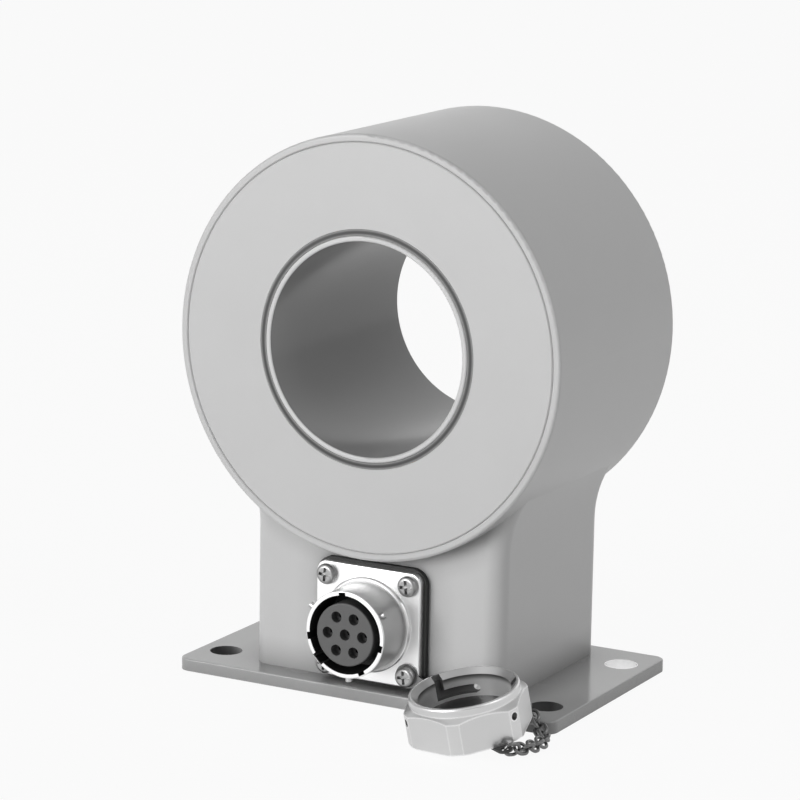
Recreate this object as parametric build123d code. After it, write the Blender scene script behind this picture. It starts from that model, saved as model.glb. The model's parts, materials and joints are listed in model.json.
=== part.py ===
from build123d import *
from math import atan2, cos, degrees, hypot, radians, sin, sqrt, tan
import os

# Split-free ring current sensor on a pedestal, with a bayonet signal socket and its chained dust cap.
# Origin: centre of the four mounting holes, on the underside of the base plate.
# X runs across the front, Y away from the front (the primary conductor runs along Y), Z up.

# General clearances
FIT = 0.1            # radial gap of pieces that seat in one another
SCREW_GAP = 0.05     # radial gap round a screw's shank in its tapped hole
OVER = 1.0           # how far a cutting or joining shape runs past a face

# Base plate
PLATE_W = 116.2
PLATE_D = 72.5
PLATE_T = 3.4
PLATE_CORNER_R = 3.5
PLATE_EDGE_R = 0.4
MOUNT_INSET_X = 8.1     # mounting holes from the plate's sides
MOUNT_INSET_Y = 12.95   # and from its front and rear edges
MOUNT_HOLE_R = 4.5

# Screws that hold the pedestal on the plate, from below
FOOT_SCREW_R = 2.0
FOOT_HEAD_R = 3.8
FOOT_HEAD_H = 2.2
FOOT_SCREW_LEN = 12.0
FOOT_BOSS_R = 4.6
FOOT_BOSS_H = 24.0
TAP_SPARE = 2.0      # tapped hole below a screw's end

# Ring
RING_R = 57.5
RING_LEN = 70.3
RING_AXIS_Z = 96.8
RING_INSET = 0.5     # ring's front face behind the plate's front edge
RING_WALL = 3.2
RING_EDGE_R = 0.8
RIM_W = 2.2          # ring's rim outside the front cover
COVER_T = 3.0
COVER_SEAM = 0.3     # bevel on both sides of the seam round the cover
BACK_T = 3.5

# Bore
BORE_R = 29.0
LINER_R = 30.5
INSULATOR_R = 32.2
LINER_PROUD = 0.3    # liner stands out past both faces
LIP_ROUND = 0.5

# Pedestal
PED_W = 76.6
PED_D = 60.5
PED_RECESS = 7.15    # pedestal's front face behind the ring's front face
PED_CORNER_R = 5.0
PED_WALL = 3.2
PED_INNER_R = 2.0
FLARE_R = 30.0       # sweep of the side walls into the ring
FLARE_SINK = 0.2     # the sweep runs this far into the ring's surface
PED_CAVITY_TOP = 45.0
LEAD_SLOT_W = 18.0   # opening from the ring into the pedestal for the leads
LEAD_SLOT_D = 12.0
LEAD_SLOT_Y = 12.0
LEAD_DROP_Y = 9.0    # where the leads hang in the slot

# Magnetic circuit
PAD_T = 2.0          # resilient rings that hold the wound core between cover and back wall
COIL_BORE_ROOM = 0.7  # between the insulating rings' size and the wound core
COIL_ROOM = 1.5      # between the wound core and the housing
COIL_T = 2.2
COIL_SECTORS = 12
COIL_SECTOR_DEG = 24.0
CORE_GAP = 0.3       # between coil, case and cores
CASE_T = 1.2
EXC_COIL_T = 1.5
EXC_CORE_W = 6.0
EXC_CORE_RADIAL = 8.0
EXC_SECTORS = 8
EXC_SECTOR_DEG = 36.0
CORE_SPACER_T = 1.5

# Circuit board, upright on the pedestal's back wall
BOARD_W = 50.0
BOARD_H = 26.0
BOARD_T = 1.6
BOARD_Z = 9.5        # lower edge
BOARD_STANDOFF = 6.0
BOARD_BOSS_R = 3.0
BOARD_HOLE_INSET = 4.0
BOARD_CORNER_R = 1.0
BOARD_SCREW_R = 1.25
BOARD_SCREW_LEN = 6.0
BOARD_TAP_SPARE = 0.6
BOARD_HEAD_R = 2.5
BOARD_HEAD_H = 1.6
BOARD_SLOT_W = 0.6
BOARD_SLOT_DEPTH = 0.6

# Components on the board
CAPACITOR_R = 4.0
CAPACITOR_H = 11.5
CAPACITOR_EDGE_R = 0.6
CAPACITOR_Y = -1.8
CAPACITORS_X = (-15.0, -5.8)
CHIP_W = 5.0
CHIP_L = 6.2
CHIP_H = 1.8
CHIP_RAISE = 0.6
CHIP_PITCH = 1.27
CHIP_LEGS = 4        # on each side
CHIP_LEG_W = 0.45
CHIP_LEG_L = 1.4
CHIP_LEG_T = 0.7
CHIP_PLACES = ((-14.0, 7.4), (2.6, 0.6), (20.8, 0.6))
TRANSISTOR_W = 10.0
TRANSISTOR_BODY_L = 9.0
TRANSISTOR_BODY_H = 3.2
TRANSISTOR_TAB_L = 12.5
TRANSISTOR_TAB_T = 1.4
TRANSISTOR_HOLE_R = 1.6
TRANSISTOR_X = 12.4
RESISTOR_R = 1.2
RESISTOR_L = 6.0
RESISTOR_FOOT_T = 0.7
RESISTOR_X = 13.4
RESISTORS_Y = (-9.8, 9.8)
HEADER_PITCH = 2.54
HEADER_H = 4.0
HEADER_D = 4.4
HEADER_HOLE_DEPTH = 2.0
SOCKET_PINS = 7
SOCKET_HEADER_Y = -8.5
COIL_LEADS = 4
COIL_HEADER_Y = 9.8
WIRE_COAT_R = 0.6
WIRE_BEND_R = 4.0

# Signal socket on the pedestal's front
SOCKET_Z = 20.7
GASKET_RIM = 0.8     # gasket outside the flange
GASKET_T = 1.6
GASKET_CORNER_R = 4.5
FLANGE_T = 2.0
FLANGE_CORNER_R = 3.0
SCREW_PITCH = 25.0
SCREW_EDGE = 3.5     # screws' centres from the flange's edges
SCREW_R = 1.5
SCREW_HEAD_R = 2.9
SCREW_HEAD_H = 1.9
SCREW_DOME_R = 1.1
SCREW_TURN = 5.0     # degrees, how the crosses stand
SCREW_LEN = 9.5
CROSS_W = 0.85
CROSS_L = 3.7
CROSS_DEPTH = 1.1
BARREL_R = 12.0
BARREL_LEN = 12.5
BARREL_COLLAR_R = 13.3
BARREL_COLLAR_T = 1.2
COLLAR_EDGE_R = 0.9
BARREL_EDGE_R = 0.35
FLANGE_EDGE_R = 0.4
MOUTH_R = 10.85
MOUTH_DEPTH = 11.0
KEYWAY_DEPTH = 0.8
KEYWAYS = [(95, 2.0), (-12, 2.0), (-62, 2.0), (224, 3.6), (189, 2.0)]   # angle, width
REAR_R = 10.0
REAR_LEN = 9.0
PIN_R = 0.95
PIN_TIP_R = 13.25
PIN_SETBACK = 2.1    # bayonet pins behind the mouth
PIN_SEAT = 0.9       # how deep a pin sits in the barrel's wall
PIN_ANGLE = 31.5
INSERT_R = 8.7
INSERT_SETBACK = 0.1
INSERT_EDGE_R = 0.4
INSERT_REAR_WALL = 0.9  # shell's wall round the insert's rear flange, with its gap
CONTACT_CIRCLE_R = 5.3
CONTACT_HOLE_R = 1.55
CONTACT_R = 1.3
CONTACT_BORE_R = 0.75
CONTACT_SETBACK = 2.5
CONTACT_BORE_DEPTH = 6.0
CONTACT_TAIL = 3.0
CUP_DEPTH = 2.0      # solder cup at a contact's rear
CUP_ROOM = 0.5       # between the wire's end and the cup's bottom
CLIP_T = 1.0
CLIP_W = 1.3
CLIP_SPLIT = 3.0
CLIP_SETBACK = 1.0

# Dust cap, standing open end up in front of the plate
CAP_H = 12.2
CAP_CORNER_R = 16.7  # hexagon's corners are turned to this radius
CAP_FLAT_R = 15.25   # half of the distance across flats
CAP_FOOT_R = 16.2
CAP_LIP_R = 14.7
CAP_LIP_H = 2.3
CAP_LIP_EDGE_R = 0.6
CAP_CHAMFER = 30.0   # degrees, both ends of the hexagon
CAP_BORE_R = 12.35
CAP_TRACK_R = 13.8   # bayonet tracks and the bevel at the mouth
CAP_TRACK_RUN = 46.0  # degrees from a track's entry to its hole
CAP_TRACK_ROOM = 0.6  # track wider than a pin
CAP_FLOOR_T = 3.2
CAP_SEAL_T = 1.4
CAP_HOLE_R = 1.05
CAP_HOLE_H = 6.7
CAP_X = 42.4
CAP_Y = -52.1
CAP_TILT = 11.4
CAP_LEAN = -127.0    # direction in plan in which the cap leans
CAP_CORNER_DIR = -14.3
RIVET_R = 1.45
RIVET_HEAD_R = 2.7
RIVET_HEAD_H = 0.7
RIVET_EDGE_R = 0.45
TAB_T = 0.6
TAB_PLAY = 0.08
TAB_SWIVEL_GAP = 0.1
TAB_END_R = 2.0
TAB_EYE_R = 3.6
TAB_REACH = 17.6
TAB_DIR = -18.0      # from the cap's corner direction
TAB_HOLE_R = 1.15

# Chain
LINK_L = 4.9
LINK_W = 4.2
WIRE_R = 0.45
LINK_PITCH = 2.66
LINK_ROLL = 40.0
END_ROLL = 72.0      # last link stands steeper, because it passes through the flat tab
LINK_LIFT = 0.15     # between a lying link and what it lies on
LINK_LIE = 4.6       # step of the chain's route along the plate
CHAIN_SETBACK = 3.7  # chain behind the plate's front edge
EYELET_T = 0.6
EYELET_R = 3.3
EYELET_DX = 5.2
EYELET_END_R = 2.0
EYELET_LIFT = 0.4    # eyelet's outer end over the plate

# Stations worked out from the sizes above
RING_Y0 = -PLATE_D/2 + RING_INSET
PED_Y0 = RING_Y0 + PED_RECESS
PED_Y1 = PED_Y0 + PED_D
CAVITY_R = RING_R - RING_WALL
COVER_R = RING_R - RIM_W
MOUNT_DX = PLATE_W - 2*MOUNT_INSET_X
MOUNT_DY = PLATE_D - 2*MOUNT_INSET_Y
FLANGE_S = SCREW_PITCH + 2*SCREW_EDGE
GASKET_S = FLANGE_S + 2*GASKET_RIM
EYELET_DZ = PLATE_T + EYELET_LIFT + EYELET_END_R - (SOCKET_Z - SCREW_PITCH/2)
COIL_R_IN = INSULATOR_R + COIL_BORE_ROOM
COIL_R_OUT = CAVITY_R - COIL_ROOM
BASE = (Align.CENTER, Align.CENTER, Align.MIN)

ring_frame = Plane(origin=(0, RING_Y0, RING_AXIS_Z), x_dir=(1, 0, 0), z_dir=(0, 1, 0))
socket_frame = Plane(origin=(0, PED_Y0, SOCKET_Z), x_dir=(1, 0, 0), z_dir=(0, -1, 0))


def rod(r, z0, z1):
    """Cylinder round Z between two heights."""
    return Pos(0, 0, z0) * Cylinder(r, z1 - z0, align=BASE)


def tube(r_out, r_in, z0, z1):
    """Hollow cylinder round Z between two heights."""
    return rod(r_out, z0, z1) - rod(r_in, z0 - OVER, z1 + OVER)


def polar(r, angle, z=0):
    """Point at a radius and an angle in degrees."""
    return (r*cos(radians(angle)), r*sin(radians(angle)), z)


def rounded_block(w, d, corner_r, z0, z1):
    """Block with rounded upright corners, centred on Z."""
    block = Pos(0, 0, z0) * Box(w, d, z1 - z0, align=BASE)
    return fillet(block.edges().filter_by(Axis.Z), corner_r)


def corners(dx, dy):
    """The four corners of a rectangle."""
    return [(sx*dx/2, sy*dy/2) for sx in (-1, 1) for sy in (-1, 1)]


# Plate and its screws

FOOT_DX = PED_W - 2*(PED_WALL + FOOT_BOSS_R - OVER)
FOOT_DY = PED_D - 2*(PED_WALL + FOOT_BOSS_R - OVER)
FOOT_Y = (PED_Y0 + PED_Y1)/2


def foot_points():
    return [(x, y + FOOT_Y) for x, y in corners(FOOT_DX, FOOT_DY)]


def foot_screw(x, y):
    """Countersunk screw, its head flush with the plate's underside."""
    head = Pos(x, y, 0) * Cone(FOOT_HEAD_R, FOOT_SCREW_R, FOOT_HEAD_H, align=BASE)
    shank = Pos(x, y, 0) * rod(FOOT_SCREW_R, FOOT_HEAD_H - FIT, FOOT_SCREW_LEN)
    slots = [Pos(x, y, 0) * Rot(0, 0, a) * Box(CROSS_L, CROSS_W, 2*CROSS_DEPTH) for a in (0, 90)]
    return head + shank - slots


def make_base_plate():
    plate = rounded_block(PLATE_W, PLATE_D, PLATE_CORNER_R, 0, PLATE_T)
    rim = plate.faces().sort_by(Axis.Z)[-1].outer_wire().edges()
    plate = fillet(rim, PLATE_EDGE_R)
    for x, y in corners(MOUNT_DX, MOUNT_DY):
        plate -= Pos(x, y, 0) * rod(MOUNT_HOLE_R, -OVER, PLATE_T + OVER)
    for x, y in foot_points():
        seat = Cone(FOOT_HEAD_R + FIT, FOOT_SCREW_R + FIT, FOOT_HEAD_H, align=BASE)
        plate -= Pos(x, y, 0) * (seat + rod(FOOT_SCREW_R + FIT, -OVER, PLATE_T + OVER))
    return plate


# Housing: ring shell, pedestal and inner bosses in one casting

def flare_outline():
    """Front outline of the pedestal, its sides sweeping up into the ring."""
    half = PED_W/2
    touch_r = RING_R - FLARE_SINK
    reach = half + FLARE_R
    drop = sqrt((touch_r + FLARE_R)**2 - reach**2)
    z_low = RING_AXIS_Z - drop
    end_angle = degrees(atan2(drop, -reach))
    mid_angle = (180 + end_angle)/2
    side = []
    for angle in (180, mid_angle, end_angle):
        px, pz, _ = polar(FLARE_R, angle)
        side.append((reach + px, z_low + pz))
    right = ThreePointArc(*side)
    left = ThreePointArc(*[(-x, z) for x, z in side])
    foot = Polyline((side[0]), (half, PLATE_T), (-half, PLATE_T), (-side[0][0], side[0][1]))
    head = Line(side[2], (-side[2][0], side[2][1]))
    return make_face([right, left, foot, head])


def make_pedestal_block():
    block = extrude(Plane.XZ.offset(-PED_Y1) * flare_outline(), amount=PED_D)
    upright = block.edges().filter_by(Axis.Z)
    swept = block.edges().filter_by(GeomType.CIRCLE)
    return fillet(upright + swept, PED_CORNER_R)


def make_pedestal_cavity():
    w = PED_W - 2*PED_WALL
    d = PED_D - 2*PED_WALL
    block = rounded_block(w, d, PED_INNER_R, PLATE_T - OVER, PED_CAVITY_TOP)
    room = Pos(0, (PED_Y0 + PED_Y1)/2, 0) * block
    for x, y in foot_points():
        room -= Pos(x, y, 0) * rod(FOOT_BOSS_R, PLATE_T - 2*OVER, PLATE_T + FOOT_BOSS_H)
    for x, z in board_screw_points():
        boss = rod(BOARD_BOSS_R, 0, BOARD_STANDOFF + OVER)
        room -= Pos(x, PED_Y1 - PED_WALL + OVER, z) * Rot(90, 0, 0) * boss
    return room - ring_frame * rod(RING_R, -OVER, RING_LEN + OVER)


def make_housing():
    barrel = rod(RING_R, 0, RING_LEN)
    barrel = fillet(barrel.edges().filter_by(GeomType.CIRCLE), RING_EDGE_R)
    body = ring_frame * barrel + make_pedestal_block()
    hollow = rod(CAVITY_R, COVER_T, RING_LEN - BACK_T)
    hollow += rod(COVER_R + FIT, -OVER, COVER_T)
    hollow += Cone(COVER_R + FIT + COVER_SEAM, COVER_R + FIT, COVER_SEAM, align=BASE)
    hollow += rod(INSULATOR_R + FIT, 0, RING_LEN + OVER)
    body -= ring_frame * hollow
    body -= make_pedestal_cavity()
    body -= Pos(0, LEAD_SLOT_Y, RING_AXIS_Z - RING_R) * Box(LEAD_SLOT_W, LEAD_SLOT_D, 4*RING_WALL)
    for x, y in foot_points():
        body -= Pos(x, y, 0) * rod(FOOT_SCREW_R + SCREW_GAP, 0, FOOT_SCREW_LEN + TAP_SPARE)
    for x, z in board_screw_points():
        depth = BOARD_SCREW_LEN - BOARD_T + BOARD_TAP_SPARE
        hole = rod(BOARD_SCREW_R + SCREW_GAP, 0, depth + OVER)
        body -= Pos(x, board_back_y() + depth, z) * Rot(90, 0, 0) * hole
    cut = rod(REAR_R + 3*FIT, -PED_WALL - OVER, OVER)
    for x, y in corners(SCREW_PITCH, SCREW_PITCH):
        cut += Pos(x, y, 0) * rod(SCREW_R + SCREW_GAP, -PED_WALL - OVER, OVER)
    return body - socket_frame * cut


def make_front_cover():
    disc = tube(COVER_R, INSULATOR_R + FIT, 0, COVER_T)
    outer = disc.edges().filter_by(GeomType.CIRCLE).group_by(Axis.Z)[0].sort_by(SortBy.LENGTH)[-1]
    return ring_frame * chamfer(outer, COVER_SEAM)


def make_bore_liner():
    sleeve = tube(LINER_R, BORE_R, -LINER_PROUD, RING_LEN + LINER_PROUD)
    return ring_frame * fillet(sleeve.edges().filter_by(GeomType.CIRCLE), LIP_ROUND)


def make_insulating_ring(z0, z1):
    return ring_frame * tube(INSULATOR_R, LINER_R + FIT, z0, z1)


# Magnetic circuit round the bore

COIL_Z0 = COVER_T + PAD_T
COIL_Z1 = RING_LEN - BACK_T - PAD_T
CASE_Z0 = COIL_Z0 + COIL_T + CORE_GAP
CASE_Z1 = COIL_Z1 - COIL_T - CORE_GAP
CASE_R_IN = COIL_R_IN + COIL_T + CORE_GAP
CASE_R_OUT = COIL_R_OUT - COIL_T - CORE_GAP
CORE_R_IN = CASE_R_IN + CASE_T + CORE_GAP
CORE_R_OUT = CASE_R_OUT - CASE_T - CORE_GAP
EXC_W = EXC_CORE_W + 2*(EXC_COIL_T + CORE_GAP)
STACK_Z0 = CASE_Z0 + CASE_T
STACK_Z1 = CASE_Z1 - CASE_T
MAIN_Z0 = STACK_Z0 + EXC_W + CORE_SPACER_T
MAIN_Z1 = STACK_Z1 - EXC_W - CORE_SPACER_T


def ring_band(r0, r1, z0, z1):
    """Rectangle in the plane of radius and height, to be turned round Z."""
    return Plane.XZ * (Pos((r0 + r1)/2, (z0 + z1)/2) * Rectangle(r1 - r0, z1 - z0))


def wound_sectors(r0, r1, z0, z1, wall, count, arc):
    """Sections of a winding, each a loop of copper that the core passes through."""
    loop = ring_band(r0, r1, z0, z1) - ring_band(r0 + wall, r1 - wall, z0 + wall, z1 - wall)
    section = revolve(loop, Axis.Z, revolution_arc=arc)
    return [ring_frame * Rot(0, 0, i*360/count - arc/2 + 90) * section for i in range(count)]


def make_core_tray():
    """Open trough of the core's case."""
    shell = ring_band(CASE_R_IN, CASE_R_OUT, CASE_Z0 + CASE_T, CASE_Z1)
    room = ring_band(CASE_R_IN + CASE_T, CASE_R_OUT - CASE_T, CASE_Z0 + CASE_T, CASE_Z1 - CASE_T)
    return ring_frame * revolve(shell - room, Axis.Z)


def make_core_lid():
    return ring_frame * tube(CASE_R_OUT, CASE_R_IN, CASE_Z0, CASE_Z0 + CASE_T)


def exc_mid_r():
    return (CORE_R_IN + CORE_R_OUT)/2


def make_excitation_core(z0):
    mid = exc_mid_r()
    low = z0 + EXC_COIL_T + CORE_GAP
    return ring_frame * tube(mid + EXC_CORE_RADIAL/2, mid - EXC_CORE_RADIAL/2, low, low + EXC_CORE_W)


def make_excitation_winding(z0):
    mid = exc_mid_r()
    half = EXC_CORE_RADIAL/2 + CORE_GAP + EXC_COIL_T
    return wound_sectors(mid - half, mid + half, z0, z0 + EXC_W, EXC_COIL_T, EXC_SECTORS, EXC_SECTOR_DEG)


# Circuit board

def board_back_y():
    return PED_Y1 - PED_WALL - BOARD_STANDOFF


def board_front_y():
    return board_back_y() - BOARD_T


def board_screw_points():
    dx = BOARD_W - 2*BOARD_HOLE_INSET
    dz = BOARD_H - 2*BOARD_HOLE_INSET
    return [(x, z + BOARD_Z + BOARD_H/2) for x, z in corners(dx, dz)]


board_frame = Plane(origin=(0, board_front_y(), BOARD_Z + BOARD_H/2), x_dir=(1, 0, 0), z_dir=(0, -1, 0))


def make_board():
    board = rounded_block(BOARD_W, BOARD_H, BOARD_CORNER_R, -BOARD_T, 0)
    for x, y in corners(BOARD_W - 2*BOARD_HOLE_INSET, BOARD_H - 2*BOARD_HOLE_INSET):
        board -= Pos(x, y, 0) * rod(BOARD_SCREW_R + FIT, -BOARD_T - OVER, OVER)
    return board_frame * board


def make_board_screws():
    screws = []
    for x, y in corners(BOARD_W - 2*BOARD_HOLE_INSET, BOARD_H - 2*BOARD_HOLE_INSET):
        screw = rod(BOARD_HEAD_R, 0, BOARD_HEAD_H) + rod(BOARD_SCREW_R, -BOARD_SCREW_LEN, BOARD_HEAD_H/2)
        screw -= Pos(0, 0, BOARD_HEAD_H) * Box(3*BOARD_HEAD_R, BOARD_SLOT_W, 2*BOARD_SLOT_DEPTH)
        screws.append(board_frame * Pos(x, y, 0) * screw)
    return screws


def make_capacitors():
    can = rod(CAPACITOR_R, 0, CAPACITOR_H)
    can = fillet(can.edges().filter_by(GeomType.CIRCLE).sort_by(Axis.Z)[-1], CAPACITOR_EDGE_R)
    return [board_frame * Pos(x, CAPACITOR_Y, 0) * can for x in CAPACITORS_X]


def make_chips():
    chip = Pos(0, 0, CHIP_RAISE) * Box(CHIP_W, CHIP_L, CHIP_H, align=BASE)
    for side in (-1, 1):
        for i in range(CHIP_LEGS):
            x = (i - (CHIP_LEGS - 1)/2)*CHIP_PITCH
            leg = Box(CHIP_LEG_W, CHIP_LEG_L, CHIP_LEG_T, align=BASE)
            chip += Pos(x, side*(CHIP_L + CHIP_LEG_L/2)/2, 0) * leg
    return [board_frame * Pos(x, y, 0) * chip for x, y in CHIP_PLACES]


def make_transistor():
    spare = TRANSISTOR_TAB_L - TRANSISTOR_BODY_L
    body = Box(TRANSISTOR_W, TRANSISTOR_BODY_L, TRANSISTOR_BODY_H, align=BASE)
    tab = Box(TRANSISTOR_W, TRANSISTOR_TAB_L, TRANSISTOR_TAB_T, align=BASE)
    hole = Pos(0, (TRANSISTOR_TAB_L - spare)/2, 0) * rod(TRANSISTOR_HOLE_R, -OVER, TRANSISTOR_TAB_T + OVER)
    return board_frame * Pos(TRANSISTOR_X, 0, 0) * (tab - hole + Pos(0, -spare/2, TRANSISTOR_TAB_T) * body)


def make_resistors():
    part = Pos(0, 0, RESISTOR_R + FIT) * Rot(0, 90, 0) * Cylinder(RESISTOR_R, RESISTOR_L)
    for side in (-1, 1):
        foot = Box(RESISTOR_FOOT_T, RESISTOR_FOOT_T, RESISTOR_R + FIT, align=BASE)
        part += Pos(side*RESISTOR_L/2, 0, 0) * foot
    return [board_frame * Pos(RESISTOR_X, y, 0) * part for y in RESISTORS_Y]


def header_x(i, count):
    return (i - (count - 1)/2)*HEADER_PITCH


def header(count, y):
    """Connector block with a hole for each wire."""
    block = Box(count*HEADER_PITCH, HEADER_D, HEADER_H, align=BASE)
    for i in range(count):
        hole = rod(WIRE_COAT_R + FIT, HEADER_H - HEADER_HOLE_DEPTH, HEADER_H + OVER)
        block -= Pos(header_x(i, count), 0, 0) * hole
    return board_frame * Pos(0, y, 0) * block


def wire_end_y():
    """Bottom of the holes in the headers."""
    return board_front_y() - HEADER_H + HEADER_HOLE_DEPTH


# Signal socket

GASKET_Z1 = GASKET_T
FLANGE_Z1 = GASKET_Z1 + FLANGE_T
MOUTH_Z = FLANGE_Z1 + BARREL_LEN
INSERT_Z1 = MOUTH_Z - INSERT_SETBACK
WEB_Z1 = MOUTH_Z - MOUTH_DEPTH
INSERT_FLANGE_R = REAR_R - INSERT_REAR_WALL
CLIP_Z0 = CLIP_SETBACK - REAR_LEN


def make_gasket():
    sheet = rounded_block(GASKET_S, GASKET_S, GASKET_CORNER_R, 0, GASKET_T)
    sheet -= rod(REAR_R + FIT, -OVER, GASKET_T + OVER)
    for x, y in corners(SCREW_PITCH, SCREW_PITCH):
        sheet -= Pos(x, y, 0) * rod(SCREW_R + FIT, -OVER, GASKET_T + OVER)
    return socket_frame * sheet


def make_socket_shell():
    flange = rounded_block(FLANGE_S, FLANGE_S, FLANGE_CORNER_R, GASKET_Z1, FLANGE_Z1)
    flange = fillet(flange.faces().sort_by(Axis.Z)[-1].outer_wire().edges(), FLANGE_EDGE_R)
    collar = rod(BARREL_COLLAR_R, FLANGE_Z1 - OVER, FLANGE_Z1 + BARREL_COLLAR_T)
    collar = fillet(collar.edges().filter_by(GeomType.CIRCLE).sort_by(Axis.Z)[-1], COLLAR_EDGE_R)
    barrel = rod(BARREL_R, GASKET_Z1, MOUTH_Z)
    barrel = fillet(barrel.edges().filter_by(GeomType.CIRCLE).sort_by(Axis.Z)[-1], BARREL_EDGE_R)
    shell = flange + collar + barrel + rod(REAR_R, -REAR_LEN, GASKET_Z1 + OVER)
    shell -= rod(MOUTH_R, WEB_Z1, MOUTH_Z + OVER)
    shell -= rod(INSERT_R + FIT, -OVER, MOUTH_Z)
    shell -= rod(INSERT_FLANGE_R + FIT, -REAR_LEN - OVER, 0)
    for angle, width in KEYWAYS:
        slot = Box(2*KEYWAY_DEPTH, width, MOUTH_DEPTH + OVER, align=BASE)
        shell -= Pos(*polar(MOUTH_R, angle, WEB_Z1)) * Rot(0, 0, angle) * slot
    for x, y in corners(SCREW_PITCH, SCREW_PITCH):
        shell -= Pos(x, y, 0) * rod(SCREW_R + FIT, GASKET_Z1 - OVER, FLANGE_Z1 + OVER)
    for i in range(3):
        shell -= bayonet_pin(i, PIN_R + SCREW_GAP)
    return socket_frame * shell


def bayonet_pin(i, r):
    """Round pin that stands out of the barrel on its radius."""
    angle = PIN_ANGLE + 120*i
    pin = Rot(0, 90, 0) * rod(r, BARREL_R - PIN_SEAT, PIN_TIP_R)
    return Pos(0, 0, MOUTH_Z - PIN_SETBACK) * Rot(0, 0, angle) * pin


def make_bayonet_pins():
    return [socket_frame * bayonet_pin(i, PIN_R) for i in range(3)]


def contact_points():
    return [(0, 0)] + [polar(CONTACT_CIRCLE_R, 60*i)[:2] for i in range(6)]


def make_insert():
    body = rod(INSERT_R, 0, INSERT_Z1) + rod(INSERT_FLANGE_R, CLIP_Z0 + CLIP_T, 0)
    body = fillet(body.edges().filter_by(GeomType.CIRCLE).sort_by(Axis.Z)[-1], INSERT_EDGE_R)
    for x, y in contact_points():
        body -= Pos(x, y, 0) * rod(CONTACT_R + SCREW_GAP, -REAR_LEN, INSERT_Z1 - CONTACT_SETBACK)
        body -= Pos(x, y, 0) * rod(CONTACT_HOLE_R, INSERT_Z1 - CONTACT_SETBACK, INSERT_Z1 + OVER)
    return socket_frame * body


def make_contacts():
    """Turned socket contacts, open at the front, with a solder cup at the back."""
    cup_z = -REAR_LEN - CONTACT_TAIL
    mouth_z = INSERT_Z1 - CONTACT_SETBACK
    body = rod(CONTACT_R, cup_z, mouth_z)
    body -= rod(CONTACT_BORE_R, mouth_z - CONTACT_BORE_DEPTH, INSERT_Z1)
    body -= rod(WIRE_COAT_R + FIT, cup_z - OVER, cup_z + CUP_DEPTH)
    return [socket_frame * Pos(x, y, 0) * body for x, y in contact_points()]


def make_insert_clip():
    """Split ring that keeps the insert in the shell's rear."""
    clip = tube(INSERT_FLANGE_R, INSERT_FLANGE_R - CLIP_W, CLIP_Z0, CLIP_Z0 + CLIP_T)
    clip -= Pos(0, -INSERT_FLANGE_R, CLIP_Z0) * Box(CLIP_SPLIT, 4*CLIP_W, 4*CLIP_T)
    return socket_frame * clip


def socket_screw(x, y, seat_z):
    head = rod(SCREW_HEAD_R, seat_z, seat_z + SCREW_HEAD_H)
    head = fillet(head.edges().filter_by(GeomType.CIRCLE).sort_by(Axis.Z)[-1], SCREW_DOME_R)
    top = seat_z + SCREW_HEAD_H
    turn = SCREW_TURN if x > 0 else -SCREW_TURN
    for angle in (0, 90):
        head -= Pos(0, 0, top) * Rot(0, 0, angle + turn) * Box(CROSS_L, CROSS_W, 2*CROSS_DEPTH)
    return socket_frame * Pos(x, y, 0) * (head + rod(SCREW_R, seat_z - SCREW_LEN, seat_z + FIT))


def make_socket_screws():
    screws = []
    for x, y in corners(SCREW_PITCH, SCREW_PITCH):
        over_eyelet = x > 0 and y < 0
        screws.append(socket_screw(x, y, FLANGE_Z1 + (EYELET_T if over_eyelet else 0)))
    return screws


# Wires

def make_socket_wires():
    """Seven insulated wires from the solder cups to the header on the board."""
    wires = []
    start_y = PED_Y0 + REAR_LEN + CONTACT_TAIL
    end_y = wire_end_y()
    header_z = BOARD_Z + BOARD_H/2 + SOCKET_HEADER_Y
    order = sorted(contact_points(), key=lambda p: (p[0], p[1]))
    for i, (x, z) in enumerate(order):
        end_x = header_x(i, SOCKET_PINS)
        route = [(x, start_y - CUP_DEPTH + CUP_ROOM, SOCKET_Z + z),
                 (x, start_y + 2*WIRE_BEND_R, SOCKET_Z + z),
                 (end_x, end_y - 2*WIRE_BEND_R, header_z),
                 (end_x, end_y, header_z)]
        path = FilletPolyline(*route, radius=WIRE_BEND_R)
        wires.append(sweep(Plane(origin=route[0], z_dir=(0, 1, 0)) * Circle(WIRE_COAT_R), path=path))
    return wires


def make_coil_leads():
    """Leads that drop from the windings through the slot to the upper header."""
    leads = []
    end_y = wire_end_y()
    end_z = BOARD_Z + BOARD_H/2 + COIL_HEADER_Y
    top_z = RING_AXIS_Z - COIL_R_OUT - CORE_GAP
    for i in range(COIL_LEADS):
        x = header_x(i, COIL_LEADS)
        route = [(x, LEAD_DROP_Y, top_z), (x, LEAD_DROP_Y, end_z), (x, end_y, end_z)]
        path = FilletPolyline(*route, radius=WIRE_BEND_R)
        leads.append(sweep(Plane(origin=route[0], z_dir=(0, 0, -1)) * Circle(WIRE_COAT_R), path=path))
    return leads


# Dust cap

CAP_Z = CAP_FOOT_R*sin(radians(CAP_TILT))
CAP_AXIS = Vector(*polar(sin(radians(CAP_TILT)), CAP_LEAN, cos(radians(CAP_TILT))))
cap_frame = Plane(origin=(CAP_X, CAP_Y, CAP_Z), x_dir=polar(1, CAP_CORNER_DIR), z_dir=CAP_AXIS)
HEX_TOP = CAP_H - CAP_LIP_H
TAB_Z0 = -TAB_PLAY - TAB_T
HEAD_Z0 = TAB_Z0 - TAB_PLAY - RIVET_HEAD_H


def hexagon():
    corner = CAP_FLAT_R/cos(radians(30))
    return Polygon(*[polar(corner, 60*i)[:2] for i in range(6)], align=None)


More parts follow.
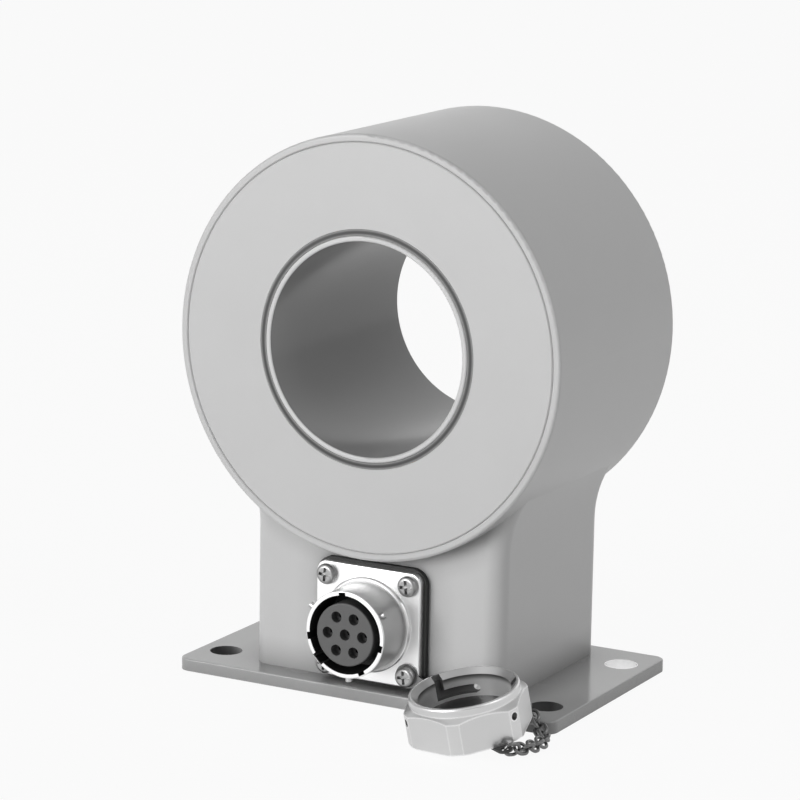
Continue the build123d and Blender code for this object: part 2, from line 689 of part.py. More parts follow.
def turned_envelope():
    """Outline that the hexagon's ends and corners are turned to."""
    slope = tan(radians(CAP_CHAMFER))
    foot_rise = (CAP_CORNER_R - CAP_FOOT_R)*slope
    top_fall = (CAP_CORNER_R - CAP_LIP_R)*slope
    points = [(0, 0), (CAP_FOOT_R, 0), (CAP_CORNER_R, foot_rise),
              (CAP_CORNER_R, HEX_TOP - top_fall), (CAP_LIP_R, HEX_TOP), (0, HEX_TOP)]
    return revolve(Plane.XZ * Polygon(*points, align=None), Axis.Z)


def bayonet_track(i):
    """Entry slot from the mouth, a run round the wall and the hole that holds the pin."""
    width = 2*PIN_R + CAP_TRACK_ROOM
    low = CAP_HOLE_H - width/2
    inner_r = CAP_BORE_R - OVER
    angle = 120.0*i
    ring = ring_band(inner_r, CAP_TRACK_R, low, low + width)
    groove = Rot(0, 0, angle) * revolve(ring, Axis.Z, revolution_arc=CAP_TRACK_RUN)
    slot = Box(2*(CAP_TRACK_R - inner_r), width, CAP_H, align=BASE)
    entry = Rot(0, 0, angle + CAP_TRACK_RUN) * Pos(inner_r, 0, low) * slot
    hole = Pos(0, 0, CAP_HOLE_H) * Rot(0, 90, 0) * rod(CAP_HOLE_R, inner_r, CAP_CORNER_R + OVER)
    return groove + entry + Rot(0, 0, angle) * hole


def make_cap_shell():
    body = extrude(hexagon(), HEX_TOP) & turned_envelope()
    lip = rod(CAP_LIP_R, HEX_TOP - OVER, CAP_H)
    lip = fillet(lip.edges().filter_by(GeomType.CIRCLE).sort_by(Axis.Z)[-1], CAP_LIP_EDGE_R)
    body += lip
    body -= rod(CAP_BORE_R, CAP_FLOOR_T, CAP_H + OVER)
    bevel = CAP_TRACK_R - CAP_BORE_R
    body -= Pos(0, 0, CAP_H - bevel) * Cone(CAP_BORE_R, CAP_TRACK_R, bevel, align=BASE)
    for i in range(3):
        body -= bayonet_track(i)
    body -= rod(RIVET_R + SCREW_GAP, -OVER, CAP_FLOOR_T + OVER)
    body -= rod(RIVET_HEAD_R + FIT, CAP_FLOOR_T - RIVET_HEAD_H - FIT, CAP_FLOOR_T + OVER)
    return cap_frame * body


def make_cap_seal():
    return cap_frame * rod(CAP_BORE_R - FIT, CAP_FLOOR_T, CAP_FLOOR_T + CAP_SEAL_T)


def make_cap_rivet():
    head = rod(RIVET_HEAD_R, HEAD_Z0, HEAD_Z0 + RIVET_HEAD_H)
    head = fillet(head.edges().filter_by(GeomType.CIRCLE).sort_by(Axis.Z)[0], RIVET_EDGE_R)
    shank = rod(RIVET_R, HEAD_Z0, CAP_FLOOR_T - FIT)
    tail_z = CAP_FLOOR_T - RIVET_HEAD_H - FIT
    return cap_frame * (head + shank + rod(RIVET_HEAD_R, tail_z, CAP_FLOOR_T - FIT))


def make_chain_tab():
    """Flat strip that turns on the rivet and holds the chain's last link."""
    strip = rod(TAB_EYE_R, TAB_Z0, TAB_Z0 + TAB_T)
    strip += Pos(TAB_REACH, 0, 0) * rod(TAB_END_R, TAB_Z0, TAB_Z0 + TAB_T)
    strip += Pos(TAB_REACH/2, 0, TAB_Z0) * Box(TAB_REACH, 2*TAB_END_R, TAB_T, align=BASE)
    strip -= rod(RIVET_R + TAB_SWIVEL_GAP, TAB_Z0 - OVER, OVER)
    strip -= Pos(TAB_REACH, 0, 0) * rod(TAB_HOLE_R, TAB_Z0 - OVER, OVER)
    return cap_frame * Rot(0, 0, TAB_DIR) * strip


# Chain from the socket's lower right screw to the cap

def eyelet_hole():
    """Centre of the eyelet's outer hole."""
    x = SCREW_PITCH/2 + EYELET_DX
    z = SOCKET_Z - SCREW_PITCH/2 + EYELET_DZ
    return Vector(x, PED_Y0 - FLANGE_Z1 - EYELET_T/2, z)


def make_eyelet():
    reach = hypot(EYELET_DX, EYELET_DZ)
    arm = Pos(reach/2, 0, 0) * Box(reach, 2*EYELET_END_R, EYELET_T, align=BASE)
    plate = rod(EYELET_R, 0, EYELET_T) + arm + Pos(reach, 0, 0) * rod(EYELET_END_R, 0, EYELET_T)
    plate -= rod(SCREW_R + FIT, -OVER, EYELET_T + OVER)
    plate -= Pos(reach, 0, 0) * rod(TAB_HOLE_R, -OVER, EYELET_T + OVER)
    turn = degrees(atan2(EYELET_DZ, EYELET_DX))
    seat = Pos(SCREW_PITCH/2, -SCREW_PITCH/2, FLANGE_Z1)
    return socket_frame * seat * Rot(0, 0, turn) * plate


def tab_hole():
    """Centre of the hole at the tab's far end."""
    x, y, _ = polar(TAB_REACH, TAB_DIR)
    return cap_frame.from_local_coords(Vector(x, y, TAB_Z0 + TAB_T/2))


def link():
    """Oval wire link, long axis along X and lying in XY."""
    half = (LINK_L - LINK_W)/2
    mid_r = LINK_W/2 - WIRE_R
    tip = half + mid_r
    oval = Wire([Edge.make_line((-half, mid_r, 0), (half, mid_r, 0)),
                 Edge.make_three_point_arc((half, mid_r, 0), (tip, 0, 0), (half, -mid_r, 0)),
                 Edge.make_line((half, -mid_r, 0), (-half, -mid_r, 0)),
                 Edge.make_three_point_arc((-half, -mid_r, 0), (-tip, 0, 0), (-half, mid_r, 0))])
    return sweep(Plane(origin=(-half, mid_r, 0), z_dir=(1, 0, 0)) * Circle(WIRE_R), path=oval)


def beside_cap(gap, angle):
    """Point in plan at a distance from the cap's corners, at an angle round the cap."""
    x, y, _ = polar(CAP_CORNER_R + gap, angle)
    return CAP_X + x, CAP_Y + y


def chain_path():
    """Route of the chain: along the plate, over its front edge, then round the cap's right side."""
    lie = (LINK_W/2 - WIRE_R)*sin(radians(LINK_ROLL)) + WIRE_R + LINK_LIFT
    front_y = -PLATE_D/2
    along_y = front_y + CHAIN_SETBACK
    top = PLATE_T + lie
    start, end = eyelet_hole(), tab_hole()
    points = [start,
              (start.X + LINK_PITCH, start.Y - WIRE_R, top + 3*LINK_LIFT),
              (CAP_X - 2*LINK_LIE, along_y, top),
              (CAP_X, along_y, top),
              (CAP_X + LINK_LIE, along_y - WIRE_R, top + LINK_LIFT),
              (CAP_X + 2*LINK_LIE, front_y, top + 2*LINK_LIFT),
              (*beside_cap(1.7, 44), lie + LINK_W/3),
              (*beside_cap(2.4, 26), lie),
              (*beside_cap(1.6, 8), lie + LINK_LIFT),
              (*beside_cap(1.6, -13), lie + 2*WIRE_R),
              end]
    return Spline(*points)


def make_chain():
    path = chain_path()
    first = LINK_L/2 - WIRE_R
    run = path.length - 2*first
    steps = round(run/LINK_PITCH)
    links = []
    for i in range(steps + 1):
        t = (first + run*i/steps)/path.length
        roll = LINK_ROLL*(-1 if (steps - i) % 2 else 1)
        if i == steps:
            roll = END_ROLL
        along = path % t
        level = Plane(origin=path @ t, x_dir=along, z_dir=Vector(0, 0, 1) - along*along.Z)
        links.append(level * Rot(roll, 0, 0) * link())
    return links


# Every node and its piece or pieces

NODES = {
    "housing": make_housing(),
    "front_cover": make_front_cover(),
    "bore_liner": make_bore_liner(),
    "front_insulating_ring": make_insulating_ring(0, COVER_T),
    "rear_insulating_ring": make_insulating_ring(RING_LEN - BACK_T, RING_LEN),
    "front_coil_pad": ring_frame * tube(CAVITY_R - FIT, COIL_R_IN, COVER_T, COIL_Z0),
    "rear_coil_pad": ring_frame * tube(CAVITY_R - FIT, COIL_R_IN, COIL_Z1, RING_LEN - BACK_T),
    "compensation_winding": wound_sectors(COIL_R_IN, COIL_R_OUT, COIL_Z0, COIL_Z1, COIL_T,
                                          COIL_SECTORS, COIL_SECTOR_DEG),
    "core_tray": make_core_tray(),
    "core_lid": make_core_lid(),
    "main_core": ring_frame * tube(CORE_R_OUT, CORE_R_IN, MAIN_Z0, MAIN_Z1),
    "core_spacers": [ring_frame * tube(CORE_R_OUT, CORE_R_IN, z, z + CORE_SPACER_T)
                     for z in (MAIN_Z0 - CORE_SPACER_T, MAIN_Z1)],
    "front_excitation_core": make_excitation_core(STACK_Z0),
    "front_excitation_winding": make_excitation_winding(STACK_Z0),
    "rear_excitation_core": make_excitation_core(STACK_Z1 - EXC_W),
    "rear_excitation_winding": make_excitation_winding(STACK_Z1 - EXC_W),
    "circuit_board": make_board(),
    "board_screws": make_board_screws(),
    "capacitors": make_capacitors(),
    "integrated_circuits": make_chips(),
    "power_transistor": make_transistor(),
    "resistors": make_resistors(),
    "board_headers": [header(SOCKET_PINS, SOCKET_HEADER_Y), header(COIL_LEADS, COIL_HEADER_Y)],
    "coil_leads": make_coil_leads(),
    "socket_wires": make_socket_wires(),
    "base_plate": make_base_plate(),
    "base_screws": [foot_screw(x, y) for x, y in foot_points()],
    "socket_gasket": make_gasket(),
    "socket_shell": make_socket_shell(),
    "bayonet_pins": make_bayonet_pins(),
    "socket_insert": make_insert(),
    "socket_contacts": make_contacts(),
    "insert_clip": make_insert_clip(),
    "socket_screws": make_socket_screws(),
    "chain_eyelet": make_eyelet(),
    "chain_links": make_chain(),
    "chain_tab": make_chain_tab(),
    "cap_shell": make_cap_shell(),
    "cap_seal": make_cap_seal(),
    "cap_rivet": make_cap_rivet(),
}

os.makedirs("parts", exist_ok=True)
for name, piece in NODES.items():
    shape = Compound(children=list(piece)) if isinstance(piece, list) else piece
    export_step(shape, f"parts/{name}.step")
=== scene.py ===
import bpy
import json
from math import cos, radians, sin
from mathutils import Matrix, Vector


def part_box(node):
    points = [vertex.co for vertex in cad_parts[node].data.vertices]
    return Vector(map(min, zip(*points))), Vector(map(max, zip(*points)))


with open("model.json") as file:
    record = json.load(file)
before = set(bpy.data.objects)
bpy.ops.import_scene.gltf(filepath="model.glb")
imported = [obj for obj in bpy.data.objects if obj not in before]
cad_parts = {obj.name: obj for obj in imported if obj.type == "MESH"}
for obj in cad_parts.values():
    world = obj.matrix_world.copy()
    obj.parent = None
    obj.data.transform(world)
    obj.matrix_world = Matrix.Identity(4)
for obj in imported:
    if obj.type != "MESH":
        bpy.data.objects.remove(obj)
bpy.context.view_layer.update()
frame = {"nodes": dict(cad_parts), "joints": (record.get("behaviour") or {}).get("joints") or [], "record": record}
NODES = frame["nodes"]
MOUNTS = {mount["name"]: mount for mount in frame["record"]["mounts"]}
SWIVEL = frame["joints"][0]
MM = 0.001

# Camera, as fitted to the photograph: metres and degrees, with the lens and the sensor in millimetres
CAMERA_AZIMUTH = 28.65
CAMERA_ELEVATION = 12.16
CAMERA_ROLL = 0.96
CAMERA_DISTANCE = 0.9636
CAMERA_TARGET = Vector((-0.00919, -0.0006, 0.07596))
CAMERA_LENS = 157.29
CAMERA_SHIFT = (0.0031, -0.00045)
SENSOR_WIDTH = 36.0
CLIP_START = 0.05
CLIP_END = 20

# Lamps: azimuth and elevation in degrees, distance from the camera's target and width in metres, watts
LAMPS = {
    "key": (-22, 8, 2.4, 1.5, 41.5),
    "side": (82, 38, 1.6, 0.8, 3.3),
}

# World. A patch of light is its azimuth and elevation, the radii in degrees where it starts to fade
# and where it ends, and its strength.
ROOM_LIGHT = 0.32                     # at the horizon and below
CEILING_LIGHT = 0.16                  # straight above
REAR_FILL = (175, 0, 20, 45, 1.00)    # lights matt surfaces only
GLOSS_LIGHT = 0.42                    # what gloss mirrors between the soft boxes
SOFTBOXES = (
    (-35, 12, 25, 50, 0.75),
    (205, 8, 35, 60, 0.70),
    (110, 12, 16, 40, 0.60),
    (20, 75, 15, 50, 0.40),
)

# Floor
FLOOR_HALF = 6.0
FLOOR_GAP = 0.2*MM       # keeps the floor clear of the object's underside
FLOOR_PAINT = 0.85
FLOOR_SEEN = 0.93        # share of white that the camera sees on the floor; the rest is lit paint
FLOOR_MIRRORED = 0.74    # the same share, as gloss mirrors it

# Finishes, with painted shade and painted highlights
GRAIN = 2500             # noise scale, per metre
METAL_GRAIN = 3000
GRAIN_HEIGHT = 0.1*MM
CLOUD_GRAINS = 40        # the faint unevenness is this many grains wide
GLOSS_SPREAD = 0.15      # share by which roughness varies
MOTTLING = 0.02          # share by which colour varies
CORNER_SAMPLES = 6       # rays that look for a corner or an edge at each point
EDGE_TURN = (0.999, 0.965)    # cosine of the turn at an edge, from no painted highlight to full painted highlight

# Places on the object where a finish, a painted shade or a painted reflection changes; a radius or depth reaches a
# little past the face it follows
X_AXIS = (1, 0, 0)
Y_AXIS = (0, 1, 0)
Z_AXIS = (0, 0, 1)
MARGIN = 0.1*MM
RING_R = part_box("housing")[1].x + MARGIN       # the ring is the housing's widest part
BORE_CENTRE = MOUNTS["aperture"]["pos_m"]
LINER_WALL_R = MOUNTS["aperture"]["dims"]["r_mm"]*MM + MARGIN/2
INSULATOR_MID_R = 31.4*MM                      # middle of the insulating rings' faces
INSULATOR_HALF_W = 0.9*MM
INSULATOR_FADE = (0.1, 1.3)                    # in half widths from the middle, from black to grey
SOCKET_MOUTH = MOUNTS["socket"]["pos_m"]
SOCKET_EDGE = 0.4*MM                           # bright edge round the mouth
# painted shade inside the mouth starts this deep behind it
SOCKET_SHADE_START = 0.2*MM
SOCKET_SHADE_R = 11.7*MM                        # painted shade inside the mouth with its keyways
BARREL_LENGTH = 11.4*MM                        # from the mouth to the collar
BARREL_REACH = 13.6*MM                         # the collar's radius
MOUNT_X = MOUNTS["mounting_holes"]["dims"]["spacing_x_mm"]/2*MM
MOUNT_Y = MOUNTS["mounting_holes"]["dims"]["spacing_y_mm"]/2*MM
MOUNT_R = MOUNTS["mounting_holes"]["dims"]["hole_r_mm"]*MM + MARGIN
HOLE_SHADE = (0.8, -0.3)                       # in radii across a front hole, from no shade to full shade
CAP_WALL_R = 12.45*MM                          # the cap's bore
CAP_TRACK_R = 13.95*MM                         # its bayonet tracks, and the bevel at its mouth
CAP_BEVEL_H = 10.65*MM                         # above the joint, just below the bevel
CAP_SHADE_H = 1.8*MM                           # height of the band of painted shade below the bevel

WHITE = (1.0, 1.0, 1.0, 1.0)


def grey(value):
    return (value, value, value)


def direction(azimuth, elevation):
    """Unit vector from the object towards a place; azimuth 0 is in front of it, 90 at its right."""
    a, e = radians(azimuth), radians(elevation)
    return Vector((sin(a)*cos(e), -cos(a)*cos(e), sin(e)))


def make_camera():
    back = direction(CAMERA_AZIMUTH, CAMERA_ELEVATION)
    right = (-back).cross(Vector(Z_AXIS)).normalized()
    up = right.cross(-back)
    roll = radians(CAMERA_ROLL)
    turned_right = right*cos(roll) + up*sin(roll)
    turned_up = up*cos(roll) - right*sin(roll)
    rows = Matrix((turned_right, turned_up, back)).transposed().to_4x4()
    data = bpy.data.cameras.new("camera")
    data.sensor_width = SENSOR_WIDTH
    data.lens = CAMERA_LENS
    data.shift_x, data.shift_y = CAMERA_SHIFT
    data.clip_start = CLIP_START
    data.clip_end = CLIP_END
    camera = bpy.data.objects.new("camera", data)
    camera.matrix_world = Matrix.Translation(CAMERA_TARGET + back*CAMERA_DISTANCE) @ rows
    bpy.context.scene.collection.objects.link(camera)
    bpy.context.scene.camera = camera


def area_light(name, azimuth, elevation, distance, size, power):
    data = bpy.data.lights.new(name, "AREA")
    data.shape = "DISK"
    data.size = size
    data.energy = power
    light = bpy.data.objects.new(name, data)
    away = direction(azimuth, elevation)
    light.location = CAMERA_TARGET + away*distance
    light.rotation_mode = "QUATERNION"
    light.rotation_quaternion = away.to_track_quat("Z", "Y")
    bpy.context.scene.collection.objects.link(light)


def math_node(tree, operation, a, b=None):
    """Math node; each input is a socket or a number."""
    node = tree.nodes.new("ShaderNodeMath")
    node.operation = operation
    for i, value in enumerate((a, b)):
        if isinstance(value, (int, float)):
            node.inputs[i].default_value = value
        elif value is not None:
            tree.links.new(value, node.inputs[i])
    return node.outputs[0]


def vector_node(tree, operation, a, b=None):
    """Vector math node; the first input is a socket, the second a socket or a fixed vector."""
    node = tree.nodes.new("ShaderNodeVectorMath")
    node.operation = operation
    tree.links.new(a, node.inputs[0])
    if isinstance(b, bpy.types.NodeSocket):
        tree.links.new(b, node.inputs[1])
    elif b is not None:
        node.inputs[1].default_value = b
    return node.outputs["Value" if operation in ("DOT_PRODUCT", "LENGTH") else "Vector"]


def fade(tree, value, start, end, strength=1):
    """Soft step from 0 at the start to the strength at the end."""
    ramp = tree.nodes.new("ShaderNodeMapRange")
    ramp.interpolation_type = "SMOOTHSTEP"
    ramp.inputs["From Min"].default_value = min(start, end)
    ramp.inputs["From Max"].default_value = max(start, end)
    ramp.inputs["To Min"].default_value = 0 if start < end else strength
    ramp.inputs["To Max"].default_value = strength if start < end else 0
    tree.links.new(value, ramp.inputs["Value"])
    return ramp.outputs["Result"]


def light_patch(tree, place, azimuth, elevation, inner, outer, strength):
    """Soft-edged round patch of light on the world."""
    nearness = vector_node(tree, "DOT_PRODUCT", place, direction(azimuth, elevation))
    return fade(tree, nearness, cos(radians(outer)), cos(radians(inner)), strength)


def seen_directly(tree, path):
    """1 for what the camera sees, also through glass."""
    return math_node(tree, "MAXIMUM", path.outputs["Is Camera Ray"], path.outputs["Is Transmission Ray"])


def background(tree, strength):
    """White light; the strength is a socket or a number."""
    node = tree.nodes.new("ShaderNodeBackground")
    node.inputs["Color"].default_value = WHITE
    if isinstance(strength, (int, float)):
        node.inputs["Strength"].default_value = strength
    else:
        tree.links.new(strength, node.inputs["Strength"])
    return node.outputs[0]


def mix_shaders(tree, share, first, second):
    """The first shader where the share is 0, and the second where it is 1."""
    mix = tree.nodes.new("ShaderNodeMixShader")
    tree.links.new(share, mix.inputs["Fac"])
    tree.links.new(first, mix.inputs[1])
    tree.links.new(second, mix.inputs[2])
    return mix.outputs[0]


def make_world():
    """Even light with a fill behind; soft boxes in what gloss mirrors; a white background for the camera."""
    world = bpy.data.worlds.new("studio")
    bpy.context.scene.world = world
    world.use_nodes = True
    tree = world.node_tree
    tree.nodes.clear()
    path = tree.nodes.new("ShaderNodeLightPath")
    place = tree.nodes.new("ShaderNodeTexCoord").outputs["Generated"]
    height = tree.nodes.new("ShaderNodeSeparateXYZ")
    tree.links.new(place, height.inputs[0])
    mouth_shade = tree.nodes.new("ShaderNodeMapRange")
    mouth_shade.inputs["To Min"].default_value = ROOM_LIGHT
    mouth_shade.inputs["To Max"].default_value = CEILING_LIGHT
    tree.links.new(height.outputs["Z"], mouth_shade.inputs["Value"])
    matt = math_node(tree, "ADD", mouth_shade.outputs["Result"], light_patch(tree, place, *REAR_FILL))
    mirrored = GLOSS_LIGHT
    for box in SOFTBOXES:
        mirrored = math_node(tree, "ADD", light_patch(tree, place, *box), mirrored)
    lit = mix_shaders(tree, path.outputs["Is Glossy Ray"], background(tree, matt), background(tree, mirrored))
    seen = mix_shaders(tree, seen_directly(tree, path), lit, background(tree, 1.0))
    out = tree.nodes.new("ShaderNodeOutputWorld")
    tree.links.new(seen, out.inputs["Surface"])


def make_floor():
    """Pale floor that keeps the shadow, lightened for the camera and in what gloss mirrors."""
    mesh = bpy.data.meshes.new("floor")
    corners = [(x*FLOOR_HALF, y*FLOOR_HALF, 0) for x, y in ((-1, -1), (1, -1), (1, 1), (-1, 1))]
    mesh.from_pydata(corners, [], [(0, 1, 2, 3)])
    floor = bpy.data.objects.new("floor", mesh)
    floor.location.z = -FLOOR_GAP
    bpy.context.scene.collection.objects.link(floor)
    mat = bpy.data.materials.new("floor")
    mat.use_nodes = True
    tree = mat.node_tree
    tree.nodes.clear()
    path = tree.nodes.new("ShaderNodeLightPath")
    paint = tree.nodes.new("ShaderNodeBsdfDiffuse")
    paint.inputs["Color"].default_value = (*grey(FLOOR_PAINT), 1)
    glow = tree.nodes.new("ShaderNodeEmission")
    glow.inputs["Color"].default_value = WHITE
    seen = math_node(tree, "MULTIPLY", seen_directly(tree, path), FLOOR_SEEN)
    mirrored = math_node(tree, "MULTIPLY", path.outputs["Is Glossy Ray"], FLOOR_MIRRORED)
    share = math_node(tree, "MAXIMUM", seen, mirrored)
    out = tree.nodes.new("ShaderNodeOutputMaterial")
    tree.links.new(mix_shaders(tree, share, paint.outputs[0], glow.outputs[0]), out.inputs["Surface"])
    mesh.materials.append(mat)


def noise(tree, place, scale, detail):
    node = tree.nodes.new("ShaderNodeTexNoise")
    node.inputs["Scale"].default_value = scale
    node.inputs["Detail"].default_value = detail
    tree.links.new(place, node.inputs["Vector"])
    return node.outputs["Fac"]


def surface(name, color, roughness, metallic=0.0, grain=GRAIN, bump=0.12, mottling=MOTTLING):
    """Finish with a fine grain in its height, and a faint unevenness in its gloss and colour."""
    mat = bpy.data.materials.new(name)
    mat.use_nodes = True
    tree = mat.node_tree
    shader = tree.nodes["Principled BSDF"]
    shader.inputs["Metallic"].default_value = metallic
    place = tree.nodes.new("ShaderNodeTexCoord").outputs["Object"]
    fine = noise(tree, place, grain, detail=3)
    cloud = noise(tree, place, grain/CLOUD_GRAINS, detail=4)
    tint = tree.nodes.new("ShaderNodeMix")
    tint.data_type = "RGBA"
    tint.inputs["A"].default_value = (*[c*(1 - mottling) for c in color], 1)
    tint.inputs["B"].default_value = (*[min(1, c*(1 + mottling)) for c in color], 1)
    tree.links.new(cloud, tint.inputs["Factor"])
    tree.links.new(tint.outputs["Result"], shader.inputs["Base Color"])
    gloss = tree.nodes.new("ShaderNodeMapRange")
    gloss.inputs["To Min"].default_value = roughness*(1 - GLOSS_SPREAD)
    gloss.inputs["To Max"].default_value = roughness*(1 + GLOSS_SPREAD)
    tree.links.new(cloud, gloss.inputs["Value"])
    tree.links.new(gloss.outputs["Result"], shader.inputs["Roughness"])
    relief = tree.nodes.new("ShaderNodeBump")
    relief.inputs["Strength"].default_value = bump
    relief.inputs["Distance"].default_value = GRAIN_HEIGHT
    tree.links.new(fine, relief.inputs["Height"])
    tree.links.new(relief.outputs["Normal"], shader.inputs["Normal"])
    return mat


def metal(name, color, roughness, bump, metallic=1.0, mottling=MOTTLING):
    """Metal with a finer grain than the other finishes."""
    return surface(name, color, roughness, metallic, METAL_GRAIN, bump, mottling)


def along_axis(tree, start, axis):
    """Height along an axis from its start, and distance from it, of each point of a piece at rest."""
    place = tree.nodes.new("ShaderNodeTexCoord").outputs["Object"]
    away = vector_node(tree, "SUBTRACT", place, start)
    height = vector_node(tree, "DOT_PRODUCT", away, axis)
    radius = vector_node(tree, "LENGTH", vector_node(tree, "CROSS_PRODUCT", away, axis))
    return height, radius


def above(tree, value, limit):
    return math_node(tree, "GREATER_THAN", value, limit)


def below(tree, value, limit):
    return math_node(tree, "LESS_THAN", value, limit)


def both(tree, first, second):
    """Product of two masks; each is a socket or a number."""
    return math_node(tree, "MULTIPLY", first, second)


def between(tree, value, low, high):
    return both(tree, above(tree, value, low), below(tree, value, high))


def paint_over(mat, mask, color, roughness, metallic=0.0):
    """Where the mask is 1, another colour and gloss."""
    tree = mat.node_tree
    shader = tree.nodes["Principled BSDF"]
    for name, value in (("Base Color", (*color, 1)), ("Roughness", roughness), ("Metallic", metallic)):
        kind = "Color" if name == "Base Color" else "Float"
        mix = tree.nodes.new("ShaderNodeMix")
        mix.data_type = "RGBA" if kind == "Color" else "FLOAT"
        ends = {end.identifier: end for end in (*mix.inputs, *mix.outputs)}
        socket = shader.inputs[name]
        if socket.is_linked:
            tree.links.new(socket.links[0].from_socket, ends[f"A_{kind}"])
        else:
            ends[f"A_{kind}"].default_value = socket.default_value
        ends[f"B_{kind}"].default_value = value
        tree.links.new(mask, ends["Factor_Float"])
        tree.links.new(ends[f"Result_{kind}"], socket)


def paint_corner_shade(mat, reach, strength, beyond=0.0):
    """Painted shade: darker finish in narrow corners, further from the aperture's axis than the given radius."""
    tree = mat.node_tree
    corner = tree.nodes.new("ShaderNodeAmbientOcclusion")
    corner.samples = CORNER_SAMPLES
    corner.inputs["Distance"].default_value = reach
    closed = math_node(tree, "SUBTRACT", 1.0, corner.outputs["AO"])
    away = above(tree, along_axis(tree, BORE_CENTRE, Y_AXIS)[1], beyond)
    paint_over(mat, both(tree, both(tree, closed, strength), away), grey(0.05), roughness=0.4)


def paint_edge_highlights(mat, width, color, roughness, metallic):
    """Painted highlight: lighter, smoother metal along sharp edges."""
    tree = mat.node_tree
    rounded = tree.nodes.new("ShaderNodeBevel")
    rounded.samples = CORNER_SAMPLES
    rounded.inputs["Radius"].default_value = width
    flat = tree.nodes.new("ShaderNodeNewGeometry")
    turn = vector_node(tree, "DOT_PRODUCT", rounded.outputs["Normal"], flat.outputs["Normal"])
    paint_over(mat, fade(tree, turn, *EDGE_TURN), color, roughness, metallic)


def dress(material, *names):
    """Gives the material to the nodes of these names."""
    for name in names:
        mesh = NODES[name].data
        mesh.materials.clear()
        mesh.materials.append(material)


def dress_case():
    """Paint with painted shade in the narrow corners outside the ring."""
    case = surface("case_paint", grey(0.61), roughness=0.34)
    # painted shade under the ring and at the pedestal's foot
    paint_corner_shade(case, reach=9*MM, strength=0.9, beyond=RING_R)
    dress(case, "housing", "front_cover")


def dress_plate():
    """Painted shade in the narrow corners and on the front holes' walls, darkest towards the left; the rear holes'
    walls are bare metal.
    """
    plate = surface("plate_paint", grey(0.50), roughness=0.13, bump=0.04)
    # painted shade in the corners where other parts stand on the plate
    paint_corner_shade(plate, reach=12*MM, strength=0.8)
    tree = plate.node_tree
    for x in (-MOUNT_X, MOUNT_X):
        front, rear = (x, -MOUNT_Y, 0), (x, MOUNT_Y, 0)
        wall = below(tree, along_axis(tree, front, Z_AXIS)[1], MOUNT_R)
        across = along_axis(tree, front, X_AXIS)[0]
        shade = fade(tree, across, *[share*MOUNT_R for share in HOLE_SHADE])
        # painted shade on the front hole's wall
        paint_over(plate, both(tree, wall, shade), grey(0.05), roughness=0.6)
        bare = below(tree, along_axis(tree, rear, Z_AXIS)[1], MOUNT_R)
        paint_over(plate, bare, grey(0.97), roughness=0.3, metallic=1.0)
    dress(plate, "base_plate")


def dress_bore():
    """Glossy liner, darker inside the bore as painted shade, with a paler lip; insulating rings that are black in
    their middle.
    """
    # the liner is dark grey inside the bore as painted shade, and paler on its lip
    liner = surface("liner_metal", grey(0.32), roughness=0.25, bump=0.05)
    tree = liner.node_tree
    lip = above(tree, along_axis(tree, BORE_CENTRE, Y_AXIS)[1], LINER_WALL_R)
    paint_over(liner, lip, grey(0.68), roughness=0.4)
    dress(liner, "bore_liner")
    ring = surface("black_insulation", grey(0.025), roughness=0.45)
    tree = ring.node_tree
    radius = along_axis(tree, BORE_CENTRE, Y_AXIS)[1]
    off_middle = math_node(tree, "ABSOLUTE", math_node(tree, "SUBTRACT", radius, INSULATOR_MID_R))
    edges = fade(tree, off_middle, *[share*INSULATOR_HALF_W for share in INSULATOR_FADE])
    paint_over(ring, edges, grey(0.45), roughness=0.5)
    dress(ring, "front_insulating_ring", "rear_insulating_ring")


def dress_socket():
    """The shell has a bright flange and mouth edge, a greyer barrel side, and painted shade inside the mouth."""
    gasket = surface("gasket_rubber", grey(0.022), roughness=0.65, mottling=0.3)
    dress(gasket, "socket_gasket")
    shell = metal("socket_plating", grey(0.87), roughness=0.34, bump=0.03)
    tree = shell.node_tree
    depth, radius = along_axis(tree, SOCKET_MOUTH, Y_AXIS)
    side = both(tree, between(tree, depth, SOCKET_EDGE, BARREL_LENGTH), below(tree, radius, BARREL_REACH))
    paint_over(shell, side, grey(0.52), roughness=0.44, metallic=1.0)
    # painted shade: near black inside the mouth
    mouth_shade = both(tree, above(tree, depth, SOCKET_SHADE_START), below(tree, radius, SOCKET_SHADE_R))
    paint_over(shell, mouth_shade, grey(0.006), roughness=0.6)
    dress(shell, "socket_shell")
    dress(metal("pin_steel", grey(0.55), roughness=0.3, bump=0.03), "bayonet_pins", "insert_clip")
    dress(metal("screw_steel", grey(0.34), roughness=0.36, bump=0.06, mottling=0.2), "socket_screws")
    dress(surface("insert_plastic", grey(0.10), roughness=0.5, bump=0.15), "socket_insert")
    dress(surface("contact_plating", grey(0.10), roughness=0.4, metallic=1.0), "socket_contacts")


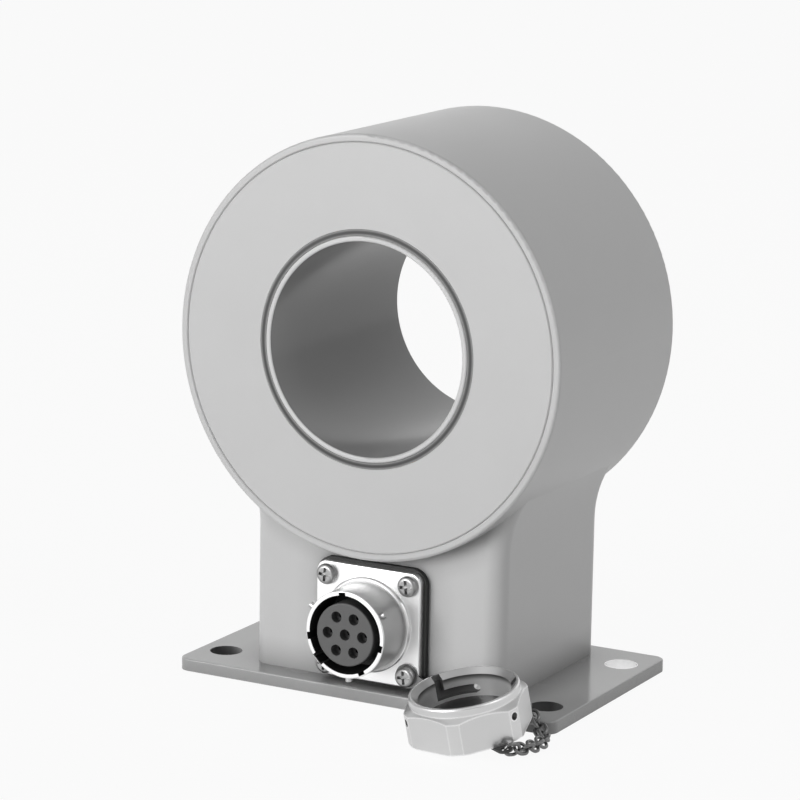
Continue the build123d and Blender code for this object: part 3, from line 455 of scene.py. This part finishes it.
def dress_cap():
    """Plated outside with painted highlights along its edges; inside, a turned wall made paler as painted
    reflection, with painted shade on the bevel, in the bayonet tracks and in a band below the bevel.
    """
    shell = metal("cap_plating", grey(0.68), roughness=0.31, bump=0.02, mottling=0.03)
    # painted highlights along the cap's edges
    paint_edge_highlights(shell, width=0.7*MM, color=grey(0.95), roughness=0.28, metallic=1.0)
    tree = shell.node_tree
    height, radius = along_axis(tree, SWIVEL["pos_m"], SWIVEL["axis"])
    high, low = above(tree, height, CAP_BEVEL_H), below(tree, height, CAP_BEVEL_H)
    bevel = both(tree, high, below(tree, radius, CAP_TRACK_R))
    # painted shade: the bevel at the cap's mouth is darker than the plating
    paint_over(shell, bevel, grey(0.44), roughness=0.3, metallic=1.0)
    track = both(tree, low, between(tree, radius, CAP_WALL_R, CAP_TRACK_R))
    # painted shade in the bayonet tracks
    paint_over(shell, track, grey(0.16), roughness=0.5, metallic=0.6)
    wall = both(tree, low, below(tree, radius, CAP_WALL_R))
    # painted reflection: the inner wall is paler than the plating
    paint_over(shell, wall, grey(0.80), roughness=0.28, metallic=0.6)
    shade = both(tree, wall, fade(tree, height, CAP_BEVEL_H - CAP_SHADE_H, CAP_BEVEL_H))
    # band of painted shade below the bevel
    paint_over(shell, shade, grey(0.20), roughness=0.3, metallic=0.8)
    dress(shell, "cap_shell")
    dress(metal("cap_rivet_steel", grey(0.6), roughness=0.3, bump=0.04), "cap_rivet")
    dress(surface("cap_seal_rubber", grey(0.015), roughness=0.5), "cap_seal")
    chain = metal("chain_steel", grey(0.18), roughness=0.3, bump=0.05, mottling=0.15)
    dress(chain, "chain_links", "chain_eyelet")
    # painted shade: the steel tab under the cap is darkened to near black
    tab = metal("tab_steel", grey(0.06), roughness=0.5, bump=0.05, metallic=0.7, mottling=0.15)
    dress(tab, "chain_tab")


def dress_inside():
    """Pieces that the closed housing hides."""
    dress(surface("pad_rubber", grey(0.06), roughness=0.6), "front_coil_pad", "rear_coil_pad")
    copper = surface("winding_copper", (0.62, 0.26, 0.12), roughness=0.35, metallic=0.7, grain=1800, bump=0.4,
                     mottling=0.1)
    dress(copper, "compensation_winding", "front_excitation_winding", "rear_excitation_winding")
    plastic = surface("core_case_plastic", (0.55, 0.53, 0.48), roughness=0.5)
    dress(plastic, "core_tray", "core_lid", "core_spacers")
    alloy = surface("core_alloy", grey(0.42), roughness=0.35, metallic=1.0, bump=0.1)
    dress(alloy, "main_core", "front_excitation_core", "rear_excitation_core")
    dress(surface("board_laminate", (0.03, 0.16, 0.07), roughness=0.35), "circuit_board")
    black = surface("board_black", grey(0.03), roughness=0.5)
    dress(black, "integrated_circuits", "power_transistor", "board_headers")
    dress(surface("capacitor_sleeve", (0.03, 0.05, 0.12), roughness=0.25), "capacitors")
    dress(surface("resistor_body", (0.45, 0.33, 0.20), roughness=0.5), "resistors")
    dress(surface("wire_insulation", (0.50, 0.08, 0.05), roughness=0.35), "coil_leads", "socket_wires")
    steel = surface("hidden_screw_steel", grey(0.55), roughness=0.35, metallic=1.0)
    dress(steel, "board_screws", "base_screws")


make_camera()
make_world()
make_floor()
for name, values in LAMPS.items():
    area_light(name, *values)
bpy.context.scene.view_settings.view_transform = "Standard"

dress_case()
dress_plate()
dress_bore()
dress_socket()
dress_cap()
dress_inside()
